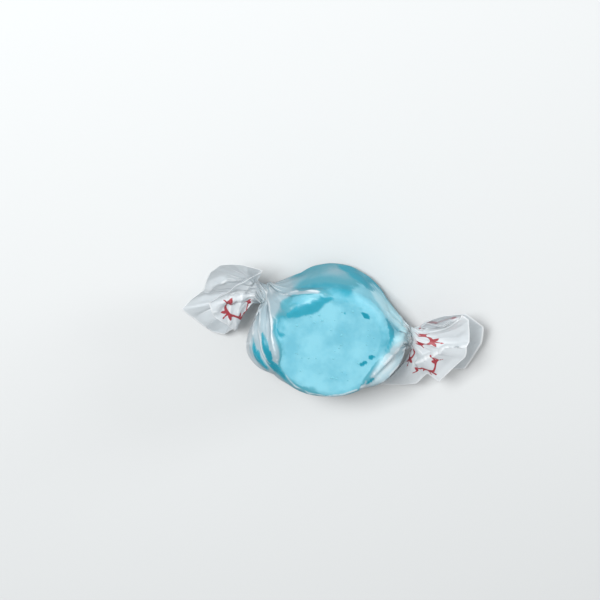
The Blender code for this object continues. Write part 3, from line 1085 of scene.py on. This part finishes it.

# %% [markdown]
# Waxed paper shows several different things over a candy, and each point of the sheet stores how
# much of each it has. Some lie in patches. A mask could be painted for them, but chains of points
# with a width and a strength, laid out like the folds, keep their borders crisp and easy to move.

# %% Patches on the paper
# Deeper patches: partly paper that clings wet to the sugar, partly painted shade. The short strong ones are
# small dark marks on the paper.
WET_AND_SHADE_PATCHES = (
    (((-9.4, 3.5), (-7.6, 4.1), (-5.4, 4.6), (-3.2, 5.8), (-0.4, 7.0)), 1.5, 1.1),
    (((-12.3, 1.2), (-11.6, -0.6), (-10.2, -0.8)), 0.8, 0.8),
    (((-17.1, -1.2), (-16.8, -3.8), (-15.8, -6.2), (-14.0, -8.4)), 1.3, 1.4),
    (((-14.9, -0.4), (-14.1, -3.6), (-13.2, -6.2), (-11.9, -9.0)), 1.1, 1.4),
    (((-12.4, -6.6), (-11.4, -8.8), (-10.0, -10.6)), 0.6, 1.3),
    (((7.4, -11.4), (9.4, -10.0)), 0.9, 1.3),
    (((11.4, 2.6), (12.6, 0.2), (12.4, -2.4), (11.2, -4.4)), 0.7, 0.9),
    (((1.6, 14.0), (4.2, 12.8), (6.6, 10.9), (8.6, 8.9)), 1.5, 0.9),
    (((6.2, 3.9), (7.6, 2.8)), 0.62, 2.2),
    (((7.8, -5.7), (8.7, -5.5)), 0.55, 2.2),
    (((5.7, -7.4), (7.1, -6.6)), 0.55, 2.2),
    (((2.4, 4.0), (2.7, 3.8)), 0.40, 1.8),
)
# Milky patches take the deeper colour away. The first is painted light: it lightens the upper right wall,
# which faces away from the lamps.
MILKY_AND_PAINTED_LIGHT_PATCHES = (
    (((6.6, 7.6), (9.8, 5.6), (12.6, 2.6), (14.2, -0.4)), 3.4, 1.0),
    (((-6.0, -10.0), (-8.6, -8.6), (-9.8, -7.0)), 2.4, 1.0),
    (((-10.4, 5.6), (-8.4, 6.7), (-5.6, 7.1), (-3.0, 7.4)), 1.5, 0.6),
)

flat = seen_flat(grid)
seen = (grid_normals(grid) @ to_camera > 0.0).ravel()


def patch_width(along, width, at_ends, uneven):
    """Half width of a patch along its chain: narrower at both ends, with a ragged border."""
    return width * (at_ends + (1.0 - at_ends) * np.sin(np.pi * along)) * uneven


print("patches:", len(WET_AND_SHADE_PATCHES), "wet,", len(MILKY_AND_PAINTED_LIGHT_PATCHES), "milky")

# %% [markdown]
# The paper is milky over the flat, dusty face of the sugar. Where it clings it is wet and the
# colour is deep. All round the candy's rounded edge that deeper colour is partly clinging paper
# and partly painted shade of the candy's sides, and the patches on the face and in the pouch are
# partly painted shade too. A milky patch takes the deeper colour away again, except where the
# paper is pressed down firmly.

# %% Where the paper clings, and painted shade on the sides
DUST_AND_SHADE_EDGE = 9.7
FACE_EDGE = 11.4


def edge_wet_and_shade():
    """Deeper colour over the candy's rounded edge, partly clinging paper and partly painted shade of the
    sides, with an uneven border.
    """
    from_axis = np.hypot(grid[:, :, 0], grid[:, :, 1]) + 0.9 * coarse + 0.25 * fine
    return (0.36 * ramp(from_axis, DUST_AND_SHADE_EDGE, 0.8) + 0.39 * ramp(from_axis, FACE_EDGE, 1.2)).ravel()


def patch_wet_and_shade(wet_and_shade):
    """That deeper colour with its patches, partly wet paper and partly painted shade, and how firmly the
    paper is pressed down in each of them.
    """
    pressed = np.zeros_like(wet_and_shade)
    uneven = 1.0 + 0.30 * fine.ravel() + 0.25 * grain.ravel()
    for chain, width, strength in WET_AND_SHADE_PATCHES:
        gap, along, _ = chain_distance(flat, chain)
        reach = patch_width(along, width, 0.55, uneven)
        here = seen * ramp(gap, reach, -0.57 * width)
        wet_and_shade = np.maximum(wet_and_shade, strength * here)
        pressed = np.maximum(pressed, here)
    for chain, width, strength in MILKY_AND_PAINTED_LIGHT_PATCHES:
        gap = chain_distance(flat, chain)[0] * (1.0 + 0.25 * grain.ravel())
        here = strength * seen * ramp(gap, width, -0.6 * width)
        wet_and_shade = np.where(pressed < 0.3, wet_and_shade * (1.0 - here), wet_and_shade)
        pressed = np.maximum(pressed, here)
    return wet_and_shade, pressed


wet_and_shade, pressed = patch_wet_and_shade(edge_wet_and_shade())
print("wet share:", (wet_and_shade > 0.5).mean().round(3))

# %% [markdown]
# The further the paper is lifted off the sugar, the whiter it looks, because less of the candy's
# colour comes through. Two layers look as white as paper far off the candy. On the right shoulder,
# walls that face away from the lamps get painted light: a white with the candy's blue in it.

# %% Where the paper is white, and painted light on the right shoulder
DOUBLE_LAYERS = (
    (((18.4, 0.8), (14.4, -3.6), (12.2, -7.1), (9.8, -10.0), (6.6, -12.6)), 1.8, 7.0),
    (((-15.6, 7.0), (-12.2, 7.4), (-8.9, 8.2), (-3.2, 8.3)), 0.9, 3.2),
    (((-14.6, 7.4), (-13.6, 2.0), (-13.8, -1.6), (-12.1, -7.6)), 1.1, 4.5),
)
# Painted light: these patches lighten the right shoulder's walls, which face away from the lamps.
PAINTED_LIGHT_PATCHES = (
    (((8.6, 9.4), (11.4, 6.4), (13.6, 3.4), (15.4, 0.6)), 2.3, 0.85),
    (((17.6, 0.6), (14.6, -3.8), (12.6, -7.3), (9.6, -10.8)), 3.6, 0.9),
)


def patch_cover(patches, at_ends, uneven, firmness):
    """How much of the patches lies over each point, fading to the border of each."""
    cover = np.zeros(len(flat))
    for chain, width, strength in patches:
        gap, along, _ = chain_distance(flat, chain)
        reach = patch_width(along, width, at_ends, uneven)
        cover = np.maximum(cover, seen * strength * np.clip(firmness * (1.0 - gap / reach), 0.0, 1.0))
    return cover


doubled = patch_cover(DOUBLE_LAYERS, 0.35, 1.0 + 0.4 * fine.ravel() + 0.3 * grain.ravel(), 1.0)
gap = np.maximum(outside_candy(*place.T), doubled) * (1.0 - 0.97 * pressed)
painted_light = patch_cover(PAINTED_LIGHT_PATCHES, 0.5, 1.0 + 0.15 * fine.ravel(), 2.2) * (1.0 - np.clip(wet_and_shade, 0.0, 1.0))
print("clinging share:", (gap < 0.2).mean().round(3), "pale share:", (painted_light > 0.2).mean().round(3))

# %% [markdown]
# Every sharp ridge gets a painted highlight: a white line where the crease would catch the light.
# How sharply the paper bends is measured on the grid itself, in both directions, and the crests of
# the taut folds are added.

# %% Where highlights are painted on the ridges
def ridge_sharpness():
    """How sharply the paper bends outward at each point, in radians per millimetre."""
    facing = grid_normals(grid)
    bends = []
    for axis in (0, 1):
        step = np.gradient(grid, axis=axis)
        turn = np.gradient(facing, axis=axis)
        bends.append((step * turn).sum(axis=2) / np.maximum((step * step).sum(axis=2), 1e-4))
    return np.maximum(bends[0], bends[1])


# Where the painted highlight goes: sharp bends and fold crests, weaker where the paper is pressed down.
ridge = np.maximum(ridge_sharpness(), 2.4 * crest).ravel() * (1.0 - 0.5 * pressed)
print("sharp ridges:", (ridge > 1.0).mean().round(3))

# %% [markdown]
# The twist shuts each neck: the innermost pleats meet in the middle. Seen into a fan they are a
# small star of folds that winds round its centre. A pleated disc across the neck stands for them,
# because the pleats that make it can't be told apart from outside.

# %% Closing the necks
PAPER_THICKNESS = 0.07
CORE_PLACE = 0.78
CORE_COLUMNS = 120
CORE_ROWS = 9
CORE_PLEATS = 11
CORE_PLEAT_DEPTH = 0.45
CORE_SPIRAL = 1.6
CORE_HOLLOW = 0.9
CORE_CLEARANCE = 0.20


def core_points(side, centre):
    """Rings of the pleated disc inside a neck, from its rim inwards, and the middle point last."""
    angle = np.linspace(0.0, 2 * np.pi, CORE_COLUMNS, endpoint=False)
    turn = side * (SHOULDER_TWIST + CORE_PLACE * NECK_TWIST)
    outer = neck_ring(centre, angle - turn, CORE_PLACE, side)
    spoke = outer - np.array([outer[0, 0], centre[1], centre[2]])
    spoke *= 1.0 - (CORE_CLEARANCE + PAPER_THICKNESS) / np.linalg.norm(spoke, axis=1)[:, None]
    rings = []
    for row in range(CORE_ROWS):
        reach = 1.0 - row / CORE_ROWS
        wave = zigzag(CORE_PLEATS * angle + CORE_SPIRAL * side * (1.0 - reach))
        ring = np.array([0.0, centre[1], centre[2]]) + spoke * reach
        height = CORE_PLEAT_DEPTH * reach ** 0.5 * wave - CORE_HOLLOW * (1.0 - reach)
        ring[:, 0] = outer[0, 0] + side * height
        rings.append(ring)
    middle = np.array([[outer[0, 0] - side * CORE_HOLLOW, centre[1], centre[2]]])
    return np.concatenate(rings + [middle])


def core_faces():
    """Faces between the rings of a disc, and a fan of triangles round its middle point."""
    faces = []
    inmost = (CORE_ROWS - 1) * CORE_COLUMNS
    for column in range(CORE_COLUMNS):
        beside = (column + 1) % CORE_COLUMNS
        for ring in range(0, inmost, CORE_COLUMNS):
            inner = ring + CORE_COLUMNS
            faces.append((ring + column, ring + beside, inner + beside, inner + column))
        faces.append((inmost + column, inmost + beside, inmost + CORE_COLUMNS))
    return faces


cores = [core_points(-1, LEFT_NECK), core_points(1, RIGHT_NECK)]
print("points in each core:", len(cores[0]))

# %% [markdown]
# The grid and the two discs become one mesh. Its UV map is the flat sheet, 100 millimetres to one
# unit, and what the paper shows goes along as attributes of its points.

# %% Paper mesh
FLAT_UNIT = 100.0
CORE_GAP = 5.0

sheet_faces = [
    (corner, corner + 1, corner + COLUMNS + 1, corner + COLUMNS)
    for start in range(0, (ROWS - 1) * COLUMNS, COLUMNS)
    for corner in range(start, start + COLUMNS - 1)]


def store(mesh, name, values):
    attribute = mesh.attributes.new(name, "FLOAT", "POINT")
    attribute.data.foreach_set("value", np.asarray(values, dtype=np.float32))


def paper_mesh():
    points = place
    faces = list(sheet_faces)
    spread = np.stack([around, along], axis=1) / FLAT_UNIT
    for core in cores:
        faces += [tuple(len(points) + corner for corner in face) for face in core_faces()]
        points = np.concatenate([points, core])
        spread = np.concatenate([spread, core[:, 1:] / FLAT_UNIT])
    mesh = bpy.data.meshes.new("paper")
    mesh.from_pydata((points * MM + MIDDLE).tolist(), [], faces)
    corner_of = np.empty(len(mesh.loops), dtype=int)
    mesh.loops.foreach_get("vertex_index", corner_of)
    mesh.uv_layers.new(name="sheet").data.foreach_set("uv", spread[corner_of].ravel())
    for name, on_sheet, in_core in (
            ("ink", ink, NO_INK), ("edge", from_edge, NO_INK), ("gap", gap, CORE_GAP),
            ("wet_and_shade", wet_and_shade, 0.0), ("ridge", ridge, 0.0), ("painted_light", painted_light, 0.0)):
        store(mesh, name, np.append(on_sheet, np.full(len(points) - len(on_sheet), in_core)))
    return mesh


flat_paper = paper_mesh()
print("paper points:", len(flat_paper.vertices), "faces:", len(flat_paper.polygons))

# %% [markdown]
# A sheet without thickness has no edge that catches the light. Solidify gives it the thickness of
# paper, with the new side inwards, and that side is marked, because the print shows only faintly
# from there.

# %% Paper with its thickness
def thick_paper(mesh):
    thing = add_object("paper", mesh)
    wall = thing.modifiers.new("paper", "SOLIDIFY")
    wall.thickness = PAPER_THICKNESS * MM
    wall.offset = -1.0
    shaped = plain_mesh(thing)
    store(shaped, "inside", np.arange(len(shaped.vertices)) >= len(mesh.vertices))
    shaped.polygons.foreach_set("use_smooth", np.ones(len(shaped.polygons), dtype=bool))
    shaped.update()
    return thing


paper = thick_paper(flat_paper)
print("paper triangles:", sum(len(face.vertices) - 2 for face in paper.data.polygons))

# %% [markdown]
# The paper's material mixes colours by the stored values. Four helpers keep that readable: one
# reads an attribute, one turns a range of values into a soft step, one mixes two colours, and one
# adds a value that was scaled.

# %% Helpers for mixing
def attribute(tree, name):
    return node(tree, "ShaderNodeAttribute", attribute_name=name).outputs["Fac"]


def blend_range(tree, value, low, high):
    """A soft step from 0 to 1 while the value goes from low to high."""
    scale = node(tree, "ShaderNodeMapRange", interpolation_type="SMOOTHSTEP")
    scale.inputs["From Min"].default_value = low
    scale.inputs["From Max"].default_value = high
    tree.links.new(value, scale.inputs["Value"])
    return scale.outputs["Result"]


def mix_colour(tree, factor, first, second):
    """The first colour where the factor is 0, the second where it is 1."""
    mix = node(tree, "ShaderNodeMix", data_type="RGBA")
    for socket, value in ((mix.inputs["Factor"], factor), (mix.inputs[6], first), (mix.inputs[7], second)):
        if isinstance(value, tuple):
            socket.default_value = (*value, 1.0)
        elif isinstance(value, float):
            socket.default_value = value
        else:
            tree.links.new(value, socket)
    return mix.outputs[2]


def add_scaled(tree, value, other, scale):
    return maths(tree, "ADD", value, maths(tree, "MULTIPLY", other, scale))


# %% [markdown]
# First the paper over the candy: milky with pale clouds, deeper where it is wet and where shade
# is painted, greyer where it has lifted a little and nearly white further off. Two noises in the
# paper's own coordinates shift every border, so that none is even.

# %% Colours over the candy
MILKY_COLOUR = (0.21, 0.58, 0.69)
CLOUD_COLOUR = (0.33, 0.70, 0.79)
# The wet colours are partly clinging paper and partly painted shade on the candy's sides.
WET_AND_SHADE_COLOUR = (0.045, 0.42, 0.54)
DEEP_COLOUR = (0.01, 0.34, 0.455)
NEAR_COLOUR = (0.12, 0.44, 0.53)
LIFTED_COLOUR = (0.45, 0.57, 0.62)


def object_noise(tree, scale, detail, roughness):
    noise = node(tree, "ShaderNodeTexNoise", Scale=scale, Detail=detail, Roughness=roughness)
    tree.links.new(node(tree, "ShaderNodeTexCoord").outputs["Object"], noise.inputs["Vector"])
    return noise.outputs["Fac"]


def candy_side_colour(tree):
    """Colour of the paper near the candy, and its uneven distance from the sugar."""
    wobble = maths(tree, "SUBTRACT", object_noise(tree, 420.0, 3.0, 0.55), 0.5)
    cloud = object_noise(tree, 130.0, 4.0, 0.6)
    swing = maths(tree, "ADD", maths(tree, "MULTIPLY", cloud, 1.6), 0.2)
    uneven_gap = add_scaled(tree, maths(tree, "MULTIPLY", attribute(tree, "gap"), swing), wobble, 0.16)
    uneven_wet_and_shade = add_scaled(tree, attribute(tree, "wet_and_shade"), wobble, 0.6)
    colour = mix_colour(tree, blend_range(tree, cloud, 0.35, 0.65), MILKY_COLOUR, CLOUD_COLOUR)
    colour = mix_colour(tree, blend_range(tree, uneven_wet_and_shade, 0.15, 0.85), colour, WET_AND_SHADE_COLOUR)
    colour = mix_colour(tree, blend_range(tree, uneven_wet_and_shade, 0.95, 1.5), colour, DEEP_COLOUR)
    colour = mix_colour(tree, blend_range(tree, uneven_gap, 0.16, 0.34), colour, NEAR_COLOUR)
    colour = mix_colour(tree, blend_range(tree, uneven_gap, 0.40, 1.4), colour, LIFTED_COLOUR)
    return colour, uneven_gap


# %% [markdown]
# Then the ends with their inside in painted shade, the painted light on the right shoulder, painted
# highlights along sharp ridges and the free edge, and the print on top. The print is crisp outside
# and pink from inside, as ink on a thin sheet is.

# %% Colours of the ends and the print
END_COLOUR = (0.76, 0.79, 0.81)
# The inside of the ends is darker than the outside: painted shade.
SHADED_INSIDE_COLOUR = (0.62, 0.67, 0.70)
# Colour of the painted light on the right shoulder.
PAINTED_LIGHT_COLOUR = (0.62, 0.85, 0.90)
# White of the painted highlights on the ridges and the free edge.
HIGHLIGHT_WHITE = (0.95, 0.97, 0.98)
RED_PRINT = (0.38, 0.012, 0.025)
PINK_PRINT = (0.66, 0.50, 0.54)


def paper_colour(tree):
    """Colour of the sheet, how far it is off the candy, and where it is inked."""
    inside = attribute(tree, "inside")
    colour, uneven_gap = candy_side_colour(tree)
    away = blend_range(tree, uneven_gap, 2.2, 7.0)
    # The inside of the ends gets its painted shade here.
    colour = mix_colour(tree, away, colour, mix_colour(tree, inside, END_COLOUR, SHADED_INSIDE_COLOUR))
    # Painted light on the right shoulder's walls.
    colour = mix_colour(tree, attribute(tree, "painted_light"), colour, PAINTED_LIGHT_COLOUR)
    # Painted highlight along sharp ridges and fold crests.
    ridge_highlight = maths(tree, "MULTIPLY", blend_range(tree, attribute(tree, "ridge"), 0.7, 2.2), 0.7)
    # Painted highlight along the free edge of the sheet.
    rim = maths(tree, "MULTIPLY", blend_range(tree, attribute(tree, "edge"), 0.45, 0.1), 0.8)
    colour = mix_colour(tree, maths(tree, "MAXIMUM", ridge_highlight, rim), colour, HIGHLIGHT_WHITE)
    stroke = blend_range(tree, attribute(tree, "ink"), 1.15, 0.85)
    print_colour = mix_colour(tree, inside, RED_PRINT, PINK_PRINT)
    return mix_colour(tree, stroke, colour, print_colour), away, stroke


# %% [markdown]
# Waxed paper has a soft sheen, lets light through and hides what is behind it only in part: more
# where it clings to the candy, less at the ends. So the sheet mixes a satin surface with a
# translucent one, and that with a clear one. Faint fibres on the flat sheet's map roughen it.

# %% Paper material
PAPER_ROUGHNESS = 0.40
GLOW_SHARE = 0.40
BODY_COVER = 0.80
END_COVER = 0.60
PRINT_COVER = 0.80


def add_fibres(tree, shader):
    fibre = node(tree, "ShaderNodeTexNoise", Scale=60.0, Detail=6.0, Roughness=0.7)
    tree.links.new(node(tree, "ShaderNodeUVMap", uv_map="sheet").outputs["UV"], fibre.inputs["Vector"])
    bump = node(tree, "ShaderNodeBump", Strength=0.35, Distance=0.12 * MM)
    tree.links.new(fibre.outputs["Fac"], bump.inputs["Height"])
    tree.links.new(bump.outputs["Normal"], shader.inputs["Normal"])


def mix_shaders(tree, first, second):
    mix = node(tree, "ShaderNodeMixShader")
    tree.links.new(first.outputs[0], mix.inputs[1])
    tree.links.new(second.outputs[0], mix.inputs[2])
    return mix


def paper_material():
    material, tree, shader = principled("waxed_paper", END_COLOUR, PAPER_ROUGHNESS)
    colour, away, stroke = paper_colour(tree)
    tree.links.new(colour, shader.inputs["Base Color"])
    add_fibres(tree, shader)
    glow = node(tree, "ShaderNodeBsdfTranslucent")
    tree.links.new(colour, glow.inputs["Color"])
    sheet = mix_shaders(tree, shader, glow)
    sheet.inputs[0].default_value = GLOW_SHARE
    final = mix_shaders(tree, node(tree, "ShaderNodeBsdfTransparent"), sheet)
    cover = mix_colour(tree, away, (BODY_COVER,) * 3, (END_COVER,) * 3)
    cover = maths(tree, "MAXIMUM", cover, maths(tree, "MULTIPLY", stroke, PRINT_COVER))
    tree.links.new(cover, final.inputs[0])
    output = next(n for n in tree.nodes if n.type == "OUTPUT_MATERIAL")
    tree.links.new(final.outputs[0], output.inputs["Surface"])
    return material


paper.data.materials.append(paper_material())
print("paper finish:", paper.data.materials[0].name)

# %% [markdown]
# Between the wax and the sugar a few bubbles of air stay, and show as small deeper dots on the
# face. Geometry Nodes scatter them over that part of the sheet: points on its faces, a flat round
# blister on each, no two the same size. Each is a small ball with few faces.

# %% Blister tree
SMALLEST_BLISTER = 0.35
BLISTER_HEIGHT = 0.15


def blister_tree():
    tree, sizes = new_tree("blisters", (
        ("Geometry", "Geometry"), ("Radius", "Float"), ("Density", "Float"), ("Seed", "Int"),
        ("Material", "Material")))
    spread = node(tree, "GeometryNodeDistributePointsOnFaces")
    tree.links.new(sizes["Geometry"], spread.inputs["Mesh"])
    tree.links.new(sizes["Density"], spread.inputs["Density"])
    tree.links.new(sizes["Seed"], spread.inputs["Seed"])
    ball = node(tree, "GeometryNodeMeshIcoSphere", Subdivisions=2)
    tree.links.new(sizes["Radius"], ball.inputs["Radius"])
    size = node(tree, "FunctionNodeRandomValue", data_type="FLOAT")
    size.inputs[2].default_value = SMALLEST_BLISTER
    tree.links.new(sizes["Seed"], size.inputs["Seed"])
    flatten = node(tree, "ShaderNodeCombineXYZ")
    tree.links.new(size.outputs[1], flatten.inputs[0])
    tree.links.new(size.outputs[1], flatten.inputs[1])
    flatten.inputs[2].default_value = BLISTER_HEIGHT
    put = node(tree, "GeometryNodeInstanceOnPoints")
    tree.links.new(ball.outputs["Mesh"], put.inputs["Instance"])
    tree.links.new(spread.outputs["Rotation"], put.inputs["Rotation"])
    tree.links.new(flatten.outputs[0], put.inputs["Scale"])
    tree.links.new(spread.outputs["Points"], put.inputs["Points"])
    finish_tree(tree, put.outputs["Instances"], sizes, node(tree, "GeometryNodeSetShadeSmooth"))
    return tree


# %% [markdown]
# The tree needs the part of the sheet that lies on the face, so those faces are copied to a patch.
# The nodes turn the patch into the blisters, with its density given for each square millimetre.

# %% Blisters
BLISTER_FACE = 9.6
FACE_LEVEL = 6.0
BLISTER_RADIUS = 0.30
BLISTER_DENSITY = 0.11
BLISTER_COLOUR = (0.12, 0.38, 0.46)


def face_patch():
    """The part of the sheet that lies on the candy's upper face."""
    near = (np.hypot(place[:, 0], place[:, 1]) < BLISTER_FACE) & (place[:, 2] > FACE_LEVEL)
    kept = [face for face in sheet_faces if near[list(face)].all()]
    used = sorted({corner for face in kept for corner in face})
    order = {corner: index for index, corner in enumerate(used)}
    patch = bpy.data.meshes.new("blisters")
    points = (place[used] * MM + MIDDLE).tolist()
    patch.from_pydata(points, [], [[order[corner] for corner in face] for face in kept])
    return patch


blisters = add_object("blisters", face_patch())
add_nodes(blisters, blister_tree(), {
    "Radius": BLISTER_RADIUS * MM, "Density": BLISTER_DENSITY / MM ** 2, "Seed": SEED,
    "Material": principled("blister_wax", BLISTER_COLOUR, 0.5)[0]})
plain_mesh(blisters)
print("blister faces:", len(blisters.data.polygons))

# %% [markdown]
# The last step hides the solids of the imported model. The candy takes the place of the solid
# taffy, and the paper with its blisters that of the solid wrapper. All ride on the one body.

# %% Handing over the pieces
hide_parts("taffy")
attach(candy, "root")
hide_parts("wrapper")
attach(paper, "root")
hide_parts("wrapper")
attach(blisters, "root")
